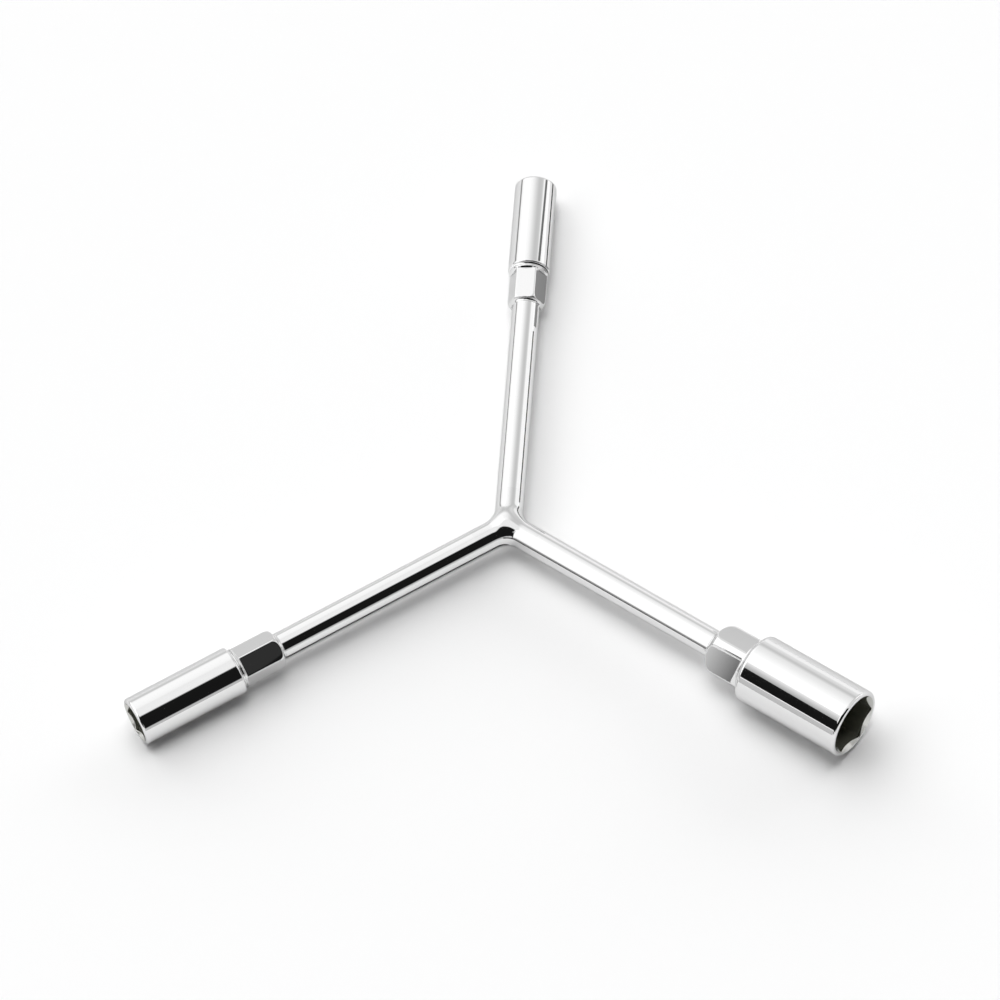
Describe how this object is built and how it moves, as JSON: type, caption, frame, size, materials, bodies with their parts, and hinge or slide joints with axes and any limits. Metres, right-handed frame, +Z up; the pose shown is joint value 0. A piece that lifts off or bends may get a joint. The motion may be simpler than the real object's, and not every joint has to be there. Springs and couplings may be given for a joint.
{
  "type": "y wrench",
  "caption": "Flat three-way socket wrench: round rods welded in a Y, with a deep six-point socket of its own size on each end, chrome plated.",
  "frame": {"origin": "middle of the footprint, on the surface that the wrench lies on", "axes": "+Z up from the bench; +Y along the arm with the smallest socket; +X to the side of the arm with the largest socket; the wrench lies on its three barrels, so its flat Y tilts by a little over a degree"},
  "size_m": [0.2082, 0.1922, 0.0209],
  "materials": {
    "rod_chrome": "mirror-bright chrome plate on a polished round steel bar",
    "socket_chrome": "bright chrome plate on turned steel",
    "weld_chrome": "bright chrome plate on ground weld and braze metal"
  },
  "bodies": {
    "root": {"centre_weld": "weld_chrome", "far_rod": "rod_chrome", "left_rod": "rod_chrome", "right_rod": "rod_chrome", "far_braze": "weld_chrome", "left_braze": "weld_chrome", "right_braze": "weld_chrome", "far_socket": "socket_chrome", "left_socket": "socket_chrome", "right_socket": "socket_chrome"}
  },
  "joints": []
}
